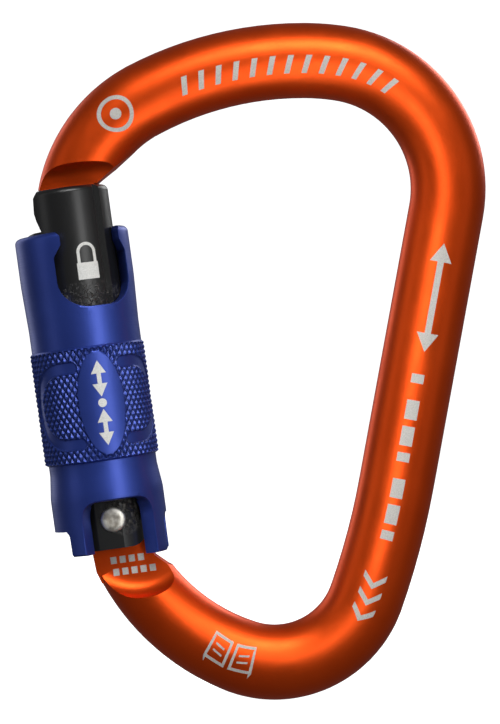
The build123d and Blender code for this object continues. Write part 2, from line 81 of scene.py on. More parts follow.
# ------------------------------------------------------------------ materials
class Shader:
    """A node tree being written: its Principled shader and short calls for the nodes used here."""

    def __init__(self, name, colour, metallic, roughness):
        self.material = bpy.data.materials.new(name)
        self.material.use_nodes = True
        self.tree = self.material.node_tree
        self.bsdf = self.tree.nodes["Principled BSDF"]
        self.bsdf.inputs["Base Color"].default_value = (*colour, 1)
        self.bsdf.inputs["Metallic"].default_value = metallic
        self.bsdf.inputs["Roughness"].default_value = roughness
        self.place = self.node("ShaderNodeTexCoord").outputs["Object"]

    def node(self, kind, **settings):
        made = self.tree.nodes.new(kind)
        for key, value in settings.items():
            setattr(made, key, value)
        return made

    def link(self, out, into):
        self.tree.links.new(out, into)

    def noise(self, scale, detail=2.0, vector=None, roughness=0.5):
        made = self.node("ShaderNodeTexNoise")
        made.inputs["Scale"].default_value = scale
        made.inputs["Detail"].default_value = detail
        made.inputs["Roughness"].default_value = roughness
        self.link(vector or self.place, made.inputs["Vector"])
        return made.outputs["Fac"]

    def lines(self, direction, scale, detail=3.0):
        """Noise that varies only along one direction: turning or drawing lines."""
        dot = self.node("ShaderNodeVectorMath", operation="DOT_PRODUCT")
        dot.inputs[1].default_value = direction
        self.link(self.place, dot.inputs[0])
        made = self.node("ShaderNodeTexNoise", noise_dimensions="1D")
        made.inputs["Scale"].default_value = scale
        made.inputs["Detail"].default_value = detail
        self.link(dot.outputs["Value"], made.inputs["W"])
        return made.outputs["Fac"]

    def math(self, operation, first, second=None):
        made = self.node("ShaderNodeMath", operation=operation)
        for socket, value in zip(made.inputs, (first, second)):
            if isinstance(value, (int, float)):
                socket.default_value = value
            elif value is not None:
                self.link(value, socket)
        return made.outputs[0]

    def remap(self, value, low, high, to_low=0.0, to_high=1.0):
        made = self.node("ShaderNodeMapRange", clamp=True)
        for key, number in (("From Min", low), ("From Max", high), ("To Min", to_low), ("To Max", to_high)):
            made.inputs[key].default_value = number
        self.link(value, made.inputs["Value"])
        return made.outputs["Result"]

    def mix(self, factor, first, second):
        made = self.node("ShaderNodeMix", data_type="RGBA")
        self.link(factor, made.inputs["Factor"])
        for socket, value in ((made.inputs[6], first), (made.inputs[7], second)):
            if isinstance(value, tuple):
                socket.default_value = (*value, 1)
            else:
                self.link(value, socket)
        return made.outputs[2]

    def away_from(self, point):
        """Distance from a point, in metres."""
        made = self.node("ShaderNodeVectorMath", operation="DISTANCE")
        made.inputs[1].default_value = point
        self.link(self.place, made.inputs[0])
        return made.outputs["Value"]

    def along(self, direction, origin):
        """Distance along a direction from a point, in metres."""
        dot = self.node("ShaderNodeVectorMath", operation="DOT_PRODUCT")
        dot.inputs[1].default_value = direction
        self.link(self.place, dot.inputs[0])
        return self.math("SUBTRACT", dot.outputs["Value"], Vector(origin).dot(direction))

    def colour(self, value):
        self.link(value, self.bsdf.inputs["Base Color"])

    def rough(self, value):
        self.link(value, self.bsdf.inputs["Roughness"])

    def coat(self, weight, roughness):
        """The clear sealed layer over anodising."""
        self.bsdf.inputs["Coat Weight"].default_value = weight
        self.bsdf.inputs["Coat Roughness"].default_value = roughness

    def bump(self, *layers):
        """Bump layers, each a height and its depth in millimetres, laid one on another."""
        normal = None
        for height, depth in layers:
            made = self.node("ShaderNodeBump")
            made.inputs["Strength"].default_value = 1.0
            made.inputs["Distance"].default_value = depth * MM
            self.link(height, made.inputs["Height"])
            if normal:
                self.link(normal, made.inputs["Normal"])
            normal = made.outputs["Normal"]
        self.link(normal, self.bsdf.inputs["Normal"])


def anodised_orange():
    s = Shader("anodised_orange", (0.80, 0.075, 0.004), 0.88, 0.38)
    s.coat(0.05, 0.34)
    blotch = s.noise(70, 3)
    s.colour(s.mix(s.remap(blotch, 0.3, 0.7), (0.74, 0.068, 0.003), (0.82, 0.082, 0.005)))
    fine = s.noise(2600, 3)
    s.rough(s.remap(s.math("ADD", fine, s.noise(160, 2)), 0.7, 1.3, 0.36, 0.46))
    s.bump((fine, 0.006), (s.noise(420, 2), 0.006))
    return s.material


def anodised_blue():
    s = Shader("anodised_blue", (0.03, 0.06, 0.32), 0.75, 0.36)
    s.coat(0.22, 0.30)
    plain = s.mix(s.remap(s.noise(90, 3), 0.3, 0.7), (0.024, 0.052, 0.30), (0.032, 0.066, 0.36))
    # Painted shade: the knurl's valleys are coloured darker and duller than its points.
    knurl_valley_shade = s.node("ShaderNodeAttribute", attribute_name="cut_depth").outputs["Fac"]
    s.colour(s.mix(s.remap(knurl_valley_shade, 0.25, 1.0, 0.0, 0.75), plain, (0.006, 0.012, 0.06)))
    turned = s.lines(UP, 5200, 3)
    s.rough(s.remap(turned, 0.3, 0.7, 0.38, 0.48))
    s.bump((turned, 0.0025), (s.noise(3000, 2), 0.003))
    return s.material


def anodised_black():
    s = Shader("anodised_black", (0.008, 0.008, 0.008), 0.0, 0.4)
    fine = s.noise(2800, 3)
    height = s.along(UP, AXIS_POINT)
    # Scuffs just above the floor of the sleeve's window.
    low = s.math("MULTIPLY", s.remap(height, 0.0340, 0.0365), s.remap(height, 0.0375, 0.0415, 1, 0))
    specks = s.math("MULTIPLY", s.remap(s.noise(1500, 4, roughness=0.7), 0.52, 0.64), low)
    # Grease and swarf round the rivet, painted pale grey, partly as painted highlights for the grease's glossy
    # glints.
    grease_and_glint_centre = RIVET - BACK * 0.0055 + SPINEWARD * 0.0022 + UP * 0.0012
    grease_glint_area = s.remap(s.away_from(grease_and_glint_centre), 0.0020, 0.0044, 1, 0)
    grease_and_glint_lumps = s.math("MULTIPLY", s.remap(s.noise(1500, 4, roughness=0.7), 0.47, 0.57), grease_glint_area)
    marked = s.math("MAXIMUM", specks, grease_and_glint_lumps)
    s.colour(s.mix(marked, (0.008, 0.008, 0.008), (0.105, 0.098, 0.088)))
    s.rough(s.remap(s.math("ADD", fine, marked), 0.3, 1.2, 0.32, 0.38))
    s.bump((fine, 0.005), (marked, 0.20))
    return s.material


def peened_steel():
    s = Shader("peened_steel", (0.74, 0.72, 0.68), 1.0, 0.3)
    dents = s.noise(900, 3, roughness=0.5)
    # Painted shade and dirt: the dents are coloured darker and browner than the peened high points.
    s.colour(s.mix(s.remap(dents, 0.30, 0.58), (0.52, 0.47, 0.39), (0.92, 0.89, 0.81)))
    s.rough(s.remap(dents, 0.3, 0.7, 0.42, 0.58))
    s.bump((dents, 0.05), (s.noise(3200, 2), 0.012))
    return s.material


def drawn_wire():
    s = Shader("drawn_wire", (0.55, 0.55, 0.56), 1.0, 0.3)
    fine = s.noise(2400, 2)
    s.colour(s.mix(fine, (0.42, 0.42, 0.43), (0.66, 0.66, 0.66)))
    s.rough(s.remap(fine, 0.3, 0.7, 0.24, 0.38))
    s.bump((fine, 0.006),)
    return s.material


def acetal():
    s = Shader("acetal", (0.80, 0.79, 0.74), 0.0, 0.42)
    cloud = s.noise(500, 3)
    s.colour(s.mix(cloud, (0.76, 0.75, 0.70), (0.84, 0.83, 0.79)))
    s.rough(s.remap(cloud, 0.3, 0.7, 0.38, 0.5))
    s.bump((s.noise(2200, 2), 0.006),)
    return s.material


def etched(name, low, high):
    """Laser-marked anodising: pale, matt and finely speckled."""
    s = Shader(name, high, 0.15, 0.55)
    grain = s.noise(5200, 3, roughness=0.7)
    s.colour(s.mix(s.remap(grain, 0.35, 0.6), low, high))
    s.rough(s.remap(grain, 0.3, 0.7, 0.5, 0.68))
    s.bump((grain, 0.008),)
    return s.material


ORANGE = anodised_orange()
BLUE = anodised_blue()
BLACK = anodised_black()
STEEL = peened_steel()
WIRE = drawn_wire()
ACETAL = acetal()
GREY_MARK = etched("etched_grey", (0.42, 0.40, 0.37), (0.58, 0.555, 0.52))
WHITE_MARK = etched("etched_white", (0.56, 0.56, 0.53), (0.72, 0.72, 0.69))

for node, material in (
    ("body", ORANGE), ("gate", BLACK), ("hinge_rivet", STEEL), ("guide_pin", STEEL), ("gate_spring", WIRE),
    ("sleeve_spring", WIRE), ("snap_ring", WIRE), ("gate_plunger", ACETAL), ("slider_ring", ACETAL),
    ("locking_sleeve", BLUE),
):
    for material_slot in frame["nodes"][node].material_slots:
        material_slot.material = material


# ------------------------------------------------------------------ mesh helpers
def add_mesh(name, vertices, faces, material):
    mesh = bpy.data.meshes.new(name)
    mesh.from_pydata([tuple(v) for v in vertices], [], faces)
    mesh.validate()
    mesh.update()
    mesh.materials.append(material)
    piece = bpy.data.objects.new(name, mesh)
    bpy.context.scene.collection.objects.link(piece)
    return piece


def smooth(piece, angle):
    """Smooth shading, with edges sharper than the angle kept sharp."""
    for polygon in piece.data.polygons:
        polygon.use_smooth = True
    piece.data.set_sharp_from_angle(angle=math.radians(angle))


def grid_faces(rows, columns, close_rows, close_columns, start=0):
    """Quads of a rows by columns grid of vertices."""
    faces = []
    for i in range(rows if close_rows else rows - 1):
        for j in range(columns if close_columns else columns - 1):
            a, b = i * columns, ((i + 1) % rows) * columns
            k = (j + 1) % columns
            faces.append((start + a + j, start + a + k, start + b + k, start + b + j))
    return faces


# ------------------------------------------------------------------ locking sleeve
BORE, SKIRT_BORE, SKIRT_TOP = 7.65, 7.1, 2.6
BOTTOM, TOP, RIM_RADIUS = -6.7, 50.4, 9.95
SKIRT_RADIUS, LOW_WAIST, HIGH_WAIST, GRIP_RADIUS = 9.9, 9.42, 9.65, 10.05
GRIP_BOTTOM, GRIP_TOP = 10.5, 30.0
GRIP_MIDDLE = (GRIP_BOTTOM + GRIP_TOP) / 2
PAD_ANGLE = 11.5
PAD_HALF_WIDTH, PAD_HALF_HEIGHT = 4.15, 9.0
KNURLS_ROUND = 54
KNURL_RISE = 1.75
KNURL_DEPTH = 0.36
HOOK_CENTRE, HOOK_RADIUS, HOOK_END, HOOK_HALF = 7.0, 6.6, 4.7, 1.2
COLUMNS = KNURLS_ROUND * 12
CROWN = 1.0
GROOVE_RADIUS, GROOVE_BOTTOM, GROOVE_TOP = 8.15, 31.4, 32.2
LEDGE_RADIUS, LEDGE_BOTTOM, LEDGE_TOP = 6.8, 26.4, 27.8


def ease(value, low, high):
    t = np.clip((value - low) / (high - low), 0, 1)
    return t * t * (3 - 2 * t)


def outer_radius(height):
    """The plain turned profile, as the CAD sleeve has it."""
    heights = (BOTTOM, BOTTOM + 0.12, BOTTOM + 0.4, 4.5, 8.6, GRIP_BOTTOM - 0.2, GRIP_BOTTOM + 0.2,
               GRIP_TOP - 0.2, GRIP_TOP + 0.2, 34.0, 42.0, TOP - CROWN)
    radii = (SKIRT_RADIUS - 0.4, SKIRT_RADIUS - 0.12, SKIRT_RADIUS, SKIRT_RADIUS, LOW_WAIST, LOW_WAIST,
             GRIP_RADIUS, GRIP_RADIUS, HIGH_WAIST, HIGH_WAIST, RIM_RADIUS, RIM_RADIUS)
    plain = np.interp(height, heights, radii)
    over = np.clip(height - (TOP - CROWN), 0, 1)
    return plain - (1 - np.sqrt(np.clip(1 - over**2, 0, 1)))


def knurled(angle, height):
    """Depth cut below the plain profile in the grip band. The pattern repeats on the back."""
    half_turn = math.pi * GRIP_RADIUS
    around = np.radians(angle - PAD_ANGLE) * GRIP_RADIUS
    u = (around + half_turn / 2) % half_turn - half_turn / 2
    v = height - GRIP_MIDDLE
    turns = np.radians(angle - PAD_ANGLE) / (2 * math.pi) * KNURLS_ROUND
    rise = v / KNURL_RISE
    lines = [np.abs((turns + side * rise + 0.5) % 1 - 0.5) for side in (1, -1)]
    pyramid = KNURL_DEPTH * (1 - np.clip(np.minimum(*lines) / 0.40, 0, 1))
    pad = (np.abs(u) / PAD_HALF_WIDTH) ** 2 + np.clip(np.abs(v) / PAD_HALF_HEIGHT, 0, 9) ** 2
    pyramid = pyramid * ease(pad, 0.97, 1.03)
    # Hook-shaped finger grooves either side of the pad.
    w = np.abs(u)
    straight = np.hypot(np.clip(HOOK_END - w, 0, None), np.abs(v) - HOOK_RADIUS)
    bend = np.abs(np.hypot(np.clip(w - HOOK_CENTRE, 0, None), v) - HOOK_RADIUS)
    hook = ease(-np.where(w > HOOK_CENTRE, bend, straight), -HOOK_HALF, -HOOK_HALF + 0.32)
    inside = ease(v, -9.62, -9.50) * ease(-v, -9.62, -9.50)
    return inside * np.maximum(pyramid * (1 - hook), (KNURL_DEPTH + 0.08) * hook)


def lathe_sleeve():
    """The sleeve before its openings are cut: a knurled outside and a stepped bore."""
    skirt = np.linspace(-5.5, 9.6, 16)
    grip = np.linspace(10.3, 30.2, 137)
    upper = np.linspace(31, TOP - CROWN, 20)
    crown = TOP - CROWN + np.sin(np.radians((15, 30, 45, 60, 75, 90)))
    heights = np.concatenate(((BOTTOM, BOTTOM + 0.12, BOTTOM + 0.4), skirt, grip, upper, crown))
    angles = np.arange(COLUMNS) * 360 / COLUMNS
    vertices, cuts = [], []
    for height in heights:
        cut = knurled(angles, np.full(COLUMNS, height))
        radius = outer_radius(height) - cut
        vertices += [on_axis(a, r, height) for a, r in zip(angles, radius)]
        # Depth of each knurl cut, kept for the painted shade in the valleys; the deeper hook grooves get none.
        cuts += list(np.where(cut > KNURL_DEPTH, 0, cut / KNURL_DEPTH))
    bore = ((BORE, TOP), (BORE, 40), (BORE, GROOVE_TOP), (GROOVE_RADIUS, GROOVE_TOP),
            (GROOVE_RADIUS, GROOVE_BOTTOM), (BORE, GROOVE_BOTTOM), (BORE, LEDGE_TOP), (LEDGE_RADIUS, LEDGE_TOP),
            (LEDGE_RADIUS, LEDGE_BOTTOM), (BORE, LEDGE_BOTTOM), (BORE, 16), (BORE, SKIRT_TOP),
            (SKIRT_BORE, SKIRT_TOP), (SKIRT_BORE, 0), (SKIRT_BORE, BOTTOM))
    for radius, height in bore:
        vertices += [on_axis(a, radius, height) for a in angles]
        cuts += [0.0] * COLUMNS
    rows = len(heights) + len(bore)
    piece = add_mesh("sleeve_knurled", vertices, grid_faces(rows, COLUMNS, True, True), BLUE)
    depth = piece.data.attributes.new("cut_depth", "FLOAT", "POINT")
    depth.data.foreach_set("value", np.array(cuts, np.float32))
    return piece


def rounded(corners, steps=8):
    """A closed outline with rounded corners: each corner is x, y and its radius."""
    outline = []
    for i, (x, y, radius) in enumerate(corners):
        here = np.array((x, y), float)
        before = np.array(corners[i - 1][:2], float) - here
        after = np.array(corners[(i + 1) % len(corners)][:2], float) - here
        if radius == 0:
            outline.append(here)
            continue
        before, after = before / np.linalg.norm(before), after / np.linalg.norm(after)
        half = math.acos(np.clip(before @ after, -1, 1)) / 2
        middle = (before + after) / np.linalg.norm(before + after)
        centre = here + middle * radius / math.sin(half)
        first = here + before * radius / math.tan(half) - centre
        last = here + after * radius / math.tan(half) - centre
        sweep = math.pi - 2 * half
        for k in range(steps + 1):
            t = k / steps
            spread = (math.sin((1 - t) * sweep) * first + math.sin(t * sweep) * last) / math.sin(sweep)
            outline.append(centre + spread)
    return np.array(outline)


EDGE = 0.3
TOOL_INSIDE, TOOL_OUTSIDE = 3.0, 13.0


def cutter(angle, outline, spread):
    """A closed tool that cuts an outline through the sleeve's wall and rounds its outer edge.
    The outline's x is in millimetres, or with spread the tangent of an angle from the tool's middle."""
    ahead, behind = np.roll(outline, -1, 0), np.roll(outline, 1, 0)
    along = ahead - behind
    normal = np.stack((along[:, 1], -along[:, 0]), 1)
    normal /= np.linalg.norm(normal, axis=1)[:, None]
    x, y = outline[:, 0], outline[:, 1]
    surface = outer_radius(np.clip(y, BOTTOM, TOP))

    def depth_at(radius):
        return radius / np.sqrt(1 + x**2) if spread else np.sqrt(np.clip(radius**2 - x**2, 1, None))

    rings = []
    for depth, grow in (
        (np.full(len(x), TOOL_INSIDE), 0),
        (depth_at(surface - EDGE), 0),
        (depth_at(surface - 0.3 * EDGE), 0.3 * EDGE),
        (depth_at(surface + 0.02), EDGE),
        (np.full(len(x), TOOL_OUTSIDE), EDGE),
    ):
        side = x * depth if spread else x
        rings.append((side + normal[:, 0] * grow, y + normal[:, 1] * grow, depth))
    turn = math.radians(angle)
    sideways = SPINEWARD * math.cos(turn) + BACK * math.sin(turn)
    outward = SPINEWARD * math.sin(turn) - BACK * math.cos(turn)
    vertices = [
        AXIS_POINT + (sideways * px + UP * py + outward * pz) * MM
        for ring in rings for px, py, pz in zip(*ring)
    ]
    count = len(outline)
    faces = grid_faces(len(rings), count, False, True)
    faces.append(tuple(range(count - 1, -1, -1)))
    faces.append(tuple(range((len(rings) - 1) * count, len(rings) * count)))
    return add_mesh("cutter", vertices, faces, BLUE)


def cut(piece, tools):
    for tool in tools:
        boolean = piece.modifiers.new("cut", "BOOLEAN")
        boolean.operation = "DIFFERENCE"
        boolean.solver = "MANIFOLD"
        boolean.object = tool
    mesh = bpy.data.meshes.new_from_object(piece.evaluated_get(bpy.context.evaluated_depsgraph_get()))
    piece.modifiers.clear()
    piece.data = mesh
    for tool in tools:
        bpy.data.objects.remove(tool)


WINDOW_ANGLE, WINDOW_HALF, WINDOW_FLOOR, BULGE_TOP = 25.0, 6.55, 37.0, 46.0
THROAT_HALF, THROAT_BOTTOM = 5.35, 48.0
WINDOW_CORNER, THROAT_CORNER, MOUTH_FLARE = 4.7, 0.9, 1.1
ARCH_ANGLE, ARCH_HALF_ANGLE, ARCH_TOP, ARCH_CORNER = 13.0, 38.8, 3.4, 3.2
OUTER_STEP_ANGLE, OUTER_STEP_HALF_ANGLE, OUTER_STEP_TOP, OUTER_STEP_CORNER = -90, 45, -1.4, 0.9
FRONT_LEG_ANGLE, FRONT_LEG_HALF_ANGLE, FRONT_LEG_TOP, FRONT_LEG_CORNER = -36, 18, -5.5, 0.5
SPINE_SLOT_ANGLE, SPINE_SLOT_HALF, SPINE_SLOT_TOP, SPINE_SLOT_CORNER = 90, 2.9, -0.4, 1.2
OPEN_END = BOTTOM - 4
WALL = 8.2


def half_outline(points):
    """Corners of the right half, mirrored to the left, counter-clockwise."""
    return points + [(-x, y, radius) for x, y, radius in reversed(points)]


window = rounded(half_outline([
    (WINDOW_HALF, WINDOW_FLOOR, WINDOW_CORNER), (WINDOW_HALF, BULGE_TOP, THROAT_CORNER),
    (THROAT_HALF, THROAT_BOTTOM, THROAT_CORNER), (THROAT_HALF, TOP - 0.8, THROAT_CORNER),
    (THROAT_HALF + MOUTH_FLARE, TOP + 1.2, 0), (THROAT_HALF + MOUTH_FLARE, TOP + 3, 0),
]))
window_tools = [cutter(WINDOW_ANGLE + turn, window, False) for turn in (0, 180)]


def open_outline(half, top, radius):
    """A cut open at the bottom of the skirt, with rounded upper corners."""
    return rounded([(half, OPEN_END, 0), (half, top, radius), (-half, top, radius), (-half, OPEN_END, 0)])


def skirt_outline(half_angle, top, radius):
    """An open cut with sides that point at the axis. Its corners are drawn at the wall."""
    return open_outline(math.tan(math.radians(half_angle)) * WALL, top, radius) / (WALL, 1)


arch = skirt_outline(ARCH_HALF_ANGLE, ARCH_TOP, ARCH_CORNER)
outer_step = skirt_outline(OUTER_STEP_HALF_ANGLE, OUTER_STEP_TOP, OUTER_STEP_CORNER)
front_leg = skirt_outline(FRONT_LEG_HALF_ANGLE, FRONT_LEG_TOP, FRONT_LEG_CORNER)
spine_slot = open_outline(SPINE_SLOT_HALF, SPINE_SLOT_TOP, SPINE_SLOT_CORNER)
skirt_tools = [cutter(ARCH_ANGLE + turn, arch, True) for turn in (0, 180)]
skirt_tools.append(cutter(OUTER_STEP_ANGLE, outer_step, True))
skirt_tools.append(cutter(FRONT_LEG_ANGLE, front_leg, True))
skirt_tools.append(cutter(SPINE_SLOT_ANGLE, spine_slot, False))

sleeve = lathe_sleeve()
cut(sleeve, window_tools + skirt_tools)
smooth(sleeve, 38)
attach(sleeve, "sleeve")
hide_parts("locking_sleeve")


# ------------------------------------------------------------------ hinge rivet
SHANK_RADIUS, HEAD_RADIUS, HEAD_SEAT = 1.6, 2.2, 4.6
HEAD_UNEVEN = 0.05
RIVET_COLUMNS = 96


def peened_rivet():
    """The rivet with upset, slightly dimpled and uneven heads."""
    dome = ((2.2, 5.70), (2.18, 5.84), (2.10, 5.98), (1.95, 6.10), (1.7, 6.20), (1.3, 6.27), (0.9, 6.28),
            (0.5, 6.25), (0.12, 6.24))
    head = [(SHANK_RADIUS, HEAD_SEAT), (HEAD_RADIUS, HEAD_SEAT)] + list(dome)
    profile = [(r, -y) for r, y in reversed(head)] + [(SHANK_RADIUS, y) for y in (-2.0, 0.0, 2.0)] + head
    vertices = []
    for radius, across in profile:
        for j in range(RIVET_COLUMNS):
            a = 2 * math.pi * j / RIVET_COLUMNS
            out = radius
            if radius > SHANK_RADIUS:
                out -= HEAD_UNEVEN * (1 + math.sin(3 * a + 0.6) * math.sin(5 * a)) / 2
            outward = SPINEWARD * math.cos(a) * out + UP * math.sin(a) * out
            vertices.append(RIVET + (outward + BACK * across) * MM)
    faces = grid_faces(len(profile), RIVET_COLUMNS, False, True)
    faces.append(tuple(range(RIVET_COLUMNS - 1, -1, -1)))
    faces.append(tuple(range((len(profile) - 1) * RIVET_COLUMNS, len(profile) * RIVET_COLUMNS)))
    return add_mesh("rivet_peened", vertices, faces, STEEL)


rivet = peened_rivet()
smooth(rivet, 40)
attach(rivet, "gate")
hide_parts("hinge_rivet")


# ------------------------------------------------------------------ line of the bar, for placing the marks
BAR_HALF = 6.575
# Radius and degrees of each arc of the centre line; a straight has no radius, and its length in second place.
TOWARDS_SPINE = ((44.0, 8.4), (22.2, 91.95), (None, 48.4), (131.0, 9.0), (17.05, 90.2), (36.4, 41.7))
TOWARDS_NOSE = ((59.8, 27.8), (24.0, 52.0))


def bar_line():
    """Runs of the bar's centre line from above the origin: reach, start, heading, length and turn of each."""
    runs = {1: [], -1: []}
    for side, chain in ((1, TOWARDS_SPINE), (-1, TOWARDS_NOSE)):
        point, heading, reach = np.array((0.0, BAR_HALF)), (0.0 if side > 0 else math.pi), 0.0
        for radius, amount in chain:
            turn = 0.0 if radius is None else -side * math.radians(amount)
            length = amount if radius is None else abs(turn) * radius
            runs[side].append((reach, point, heading, length, turn))
            point, heading = step(point, heading, length, turn), heading + turn
            reach += length
    return runs


def step(point, heading, length, turn):
    """The end of a straight or an arc."""
    if abs(turn) < 1e-9:
        return point + length * np.array((math.cos(heading), math.sin(heading)))
    radius, after = length / turn, heading + turn
    away = np.array((math.sin(after) - math.sin(heading), math.cos(heading) - math.cos(after)))
    return point + radius * away


BAR = bar_line()


def on_bar(along, across):
    """X and Z of a point this far along the bar from above the origin, and this far out from its middle."""
    side = 1 if along >= 0 else -1
    distance = abs(along)
    start, point, heading, length, turn = [r for r in BAR[side] if r[0] <= distance][-1]
    part = (distance - start) / length
    place, faced = step(point, heading, distance - start, turn * part), heading + turn * part
    outward = np.array((-math.sin(faced), math.cos(faced))) * side
    return place + across * outward


def surface_of(node):
    mesh = frame["nodes"][node].data
    return BVHTree.FromPolygons([v.co for v in mesh.vertices], [p.vertices for p in mesh.polygons])


BODY_SURFACE = surface_of("body")


def on_front(point):
    """The body's front surface at a point of the XZ plane, and its normal."""
    hit, normal, _, _ = BODY_SURFACE.ray_cast(Vector((point[0] * MM, -0.05, point[1] * MM)), BACK)
    return hit, (normal if normal.y < 0 else -normal)


def bar_surface(along, across):
    return on_front(on_bar(along, across))


def turned_surface(middle_angle, middle_height, radius):
    """Lays a flat drawing round the gate axis."""
    def place(x, y):
        angle = middle_angle + math.degrees(x / radius)
        centre = AXIS_POINT + UP * (middle_height + y) * MM
        point = on_axis(angle, radius, middle_height + y)
        return point, (point - centre).normalized()
    return place


# ------------------------------------------------------------------ marks
def patch(corners):
    """A four-sided patch, as a function of two numbers from 0 to 1."""
    a, b, c, d = (np.array(p, float) for p in corners)
    return lambda p, q: (1 - q) * ((1 - p) * a + p * b) + q * ((1 - p) * d + p * c)


def arc_patch(centre, inner, outer, start=0.0, end=360.0):
    def at(p, q):
        a = math.radians(start + (end - start) * p)
        return np.array(centre) + (inner + (outer - inner) * q) * np.array((math.cos(a), math.sin(a)))
    return at


def box_patch(x0, x1, y0, y1):
    return patch(((x0, y0), (x1, y0), (x1, y1), (x0, y1)))


def arrow(length, width, line):
    """A double-headed arrow along x, about the origin."""
    tip, neck, blunt = length / 2, length / 2 - width * 0.85, 0.02
    parts = [box_patch(-neck, neck, -line / 2, line / 2)]
    for side in (1, -1):
        corners = ((neck, -width / 2), (tip, -blunt), (tip, blunt), (neck, width / 2))
        parts.append(patch([(side * x, y) for x, y in corners]))
    return parts


def turned(parts, angle, dx=0.0, dy=0.0):
    """The same patches turned and moved."""
    c, s = math.cos(math.radians(angle)), math.sin(math.radians(angle))

    def moved(part):
        def at(p, q):
            x, y = part(p, q)
            return np.array((c * x - s * y + dx, s * x + c * y + dy))
        return at
    return [moved(part) for part in parts]


MARK_PROUD, MARK_SUNK = 0.025, 0.08
MARK_GRID = 0.35
ROUND_MARK_COLUMNS = 40


def add_mark(name, parts, place, material, body):
    """Thin closed plates that lie on a surface: proud by a hair, and sunk a little below it."""
    vertices, faces = [], []
    for part in parts:
        edge_x = np.linalg.norm(part(1, 0.5) - part(0, 0.5)) + np.linalg.norm(part(0.5, 0.5) - part(0, 0.5))
        edge_y = np.linalg.norm(part(0.5, 1) - part(0.5, 0))
        columns, rows = max(3, int(edge_x / MARK_GRID) + 2), max(3, int(edge_y / MARK_GRID) + 2)
        if edge_x > 6 * edge_y or np.linalg.norm(part(0, 0) - part(1, 0)) < 1e-6:
            columns = max(columns, ROUND_MARK_COLUMNS)
        start = len(vertices)
        across, up = np.linspace(0, 1, columns), np.linspace(0, 1, rows)
        laid = [place(*part(p, q)) for q in up for p in across]
        for lift in (MARK_PROUD * MM, -MARK_SUNK * MM):
            vertices += [point + normal * lift for point, normal in laid]
        count = rows * columns
        top = grid_faces(rows, columns, False, False, start)
        faces += top + [tuple(reversed([v + count for v in face])) for face in top]
        rim = list(range(columns)) + [i * columns + columns - 1 for i in range(1, rows)]
        rim += [(rows - 1) * columns + j for j in range(columns - 2, -1, -1)]
        rim += [i * columns for i in range(rows - 2, 0, -1)]
        for k, v in enumerate(rim):
            w = rim[(k + 1) % len(rim)]
            faces.append((start + w, start + v, start + v + count, start + w + count))
    piece = add_mesh(name, vertices, faces, material)
    smooth(piece, 50)
    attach(piece, body)
    return piece


def frame_mark(name, parts, place=bar_surface):
    return add_mark(name, parts, place, GREY_MARK, "frame")


def slanted(count, pitch, height, width, start, across):
    """A row of slanted strokes."""
    low, high, lean = across - height / 2, across + height / 2, height * 0.3
    parts = []
    for x in start + pitch * np.arange(count):
        parts.append(patch(((x, low), (x + width, low), (x + width + lean, high), (x + lean, high))))
    return parts


# Top arm: a row of slanted strokes. Upper arm: a ring and dot.
frame_mark("mark_hatch_top", slanted(count=13, pitch=3.15, height=3.1, width=1.0, start=-22.5, across=-1.2))
RING_CENTRE = (-34.5, 0.2)
frame_mark("mark_ring_arm", [arc_patch(RING_CENTRE, 2.5, 3.2), arc_patch(RING_CENTRE, 0.02, 1.0)])
# Spine: a load-axis arrow, then a row of dashes, then three chevrons.
frame_mark("mark_arrow_spine", turned(arrow(length=19.0, width=3.8, line=1.1), 0, 57.5, 0.3))
DASH_HALF, DASH_LONG, DASH_SHORT = 1.1, 3.4, 1.6
dashes = []
for i, x in enumerate(np.arange(71.0, 103.0, 4.6)):
    dashes.append(box_patch(x, x + (DASH_LONG if i % 3 else DASH_SHORT), -DASH_HALF, DASH_HALF))
frame_mark("mark_dashes_spine", dashes)
CHEVRON_LINE, CHEVRON_SLANT, CHEVRON_HALF = 1.1, 1.8, 2.0
chevrons = []
for x in (108.0, 111.0, 114.0):
    foot = x - CHEVRON_SLANT
    for y in (CHEVRON_HALF, -CHEVRON_HALF):
        chevrons.append(patch(((x, 0), (x + CHEVRON_LINE, 0), (foot + CHEVRON_LINE, y), (foot, y))))
frame_mark("mark_chevrons_foot", chevrons)
# Lower arc: an open book, each page a frame round two lines of writing.
SPINE_GAP, PAGE_EDGE, PAGE_HALF = 0.35, 4.2, 2.4
page = (
    (SPINE_GAP, PAGE_EDGE, -PAGE_HALF, -1.9), (SPINE_GAP, PAGE_EDGE, 1.9, PAGE_HALF),
    (3.75, PAGE_EDGE, -PAGE_HALF, PAGE_HALF), (SPINE_GAP, 0.8, -PAGE_HALF, PAGE_HALF),
    (1.4, 3.2, 0.5, 0.85), (1.4, 3.2, -0.7, -0.35),
)
book = []
for side in (1, -1):
    for x0, x1, y0, y1 in page:
        fall, rise = 0.12 * x0, 0.1 * x1
        book.append(patch(((side * x0, y0 - fall), (side * x1, y0 + rise),
                           (side * x1, y1 + rise), (side * x0, y1 - fall))))
frame_mark("mark_book_foot", turned(book, 180, 140.0, 0.0))


def tang_surface(x, y):
    """The flat of the tang, with x across it and y up the gate axis, from the rivet."""
    point = RIVET + (SPINEWARD * x + UP * y) * MM
    return on_front((point.x / MM, point.z / MM))


SQUARE_WIDTH, SQUARE_PITCH = 1.05, 1.6
tang_rows = [box_patch(x, x + SQUARE_WIDTH, -7.9, -6.7) for x in np.arange(-1.6, 4.0, SQUARE_PITCH)]
tang_rows += [box_patch(x, x + SQUARE_WIDTH, -10.0, -8.8) for x in np.arange(-1.4, 5.6, SQUARE_PITCH)]
frame_mark("mark_rows_tang", tang_rows, tang_surface)

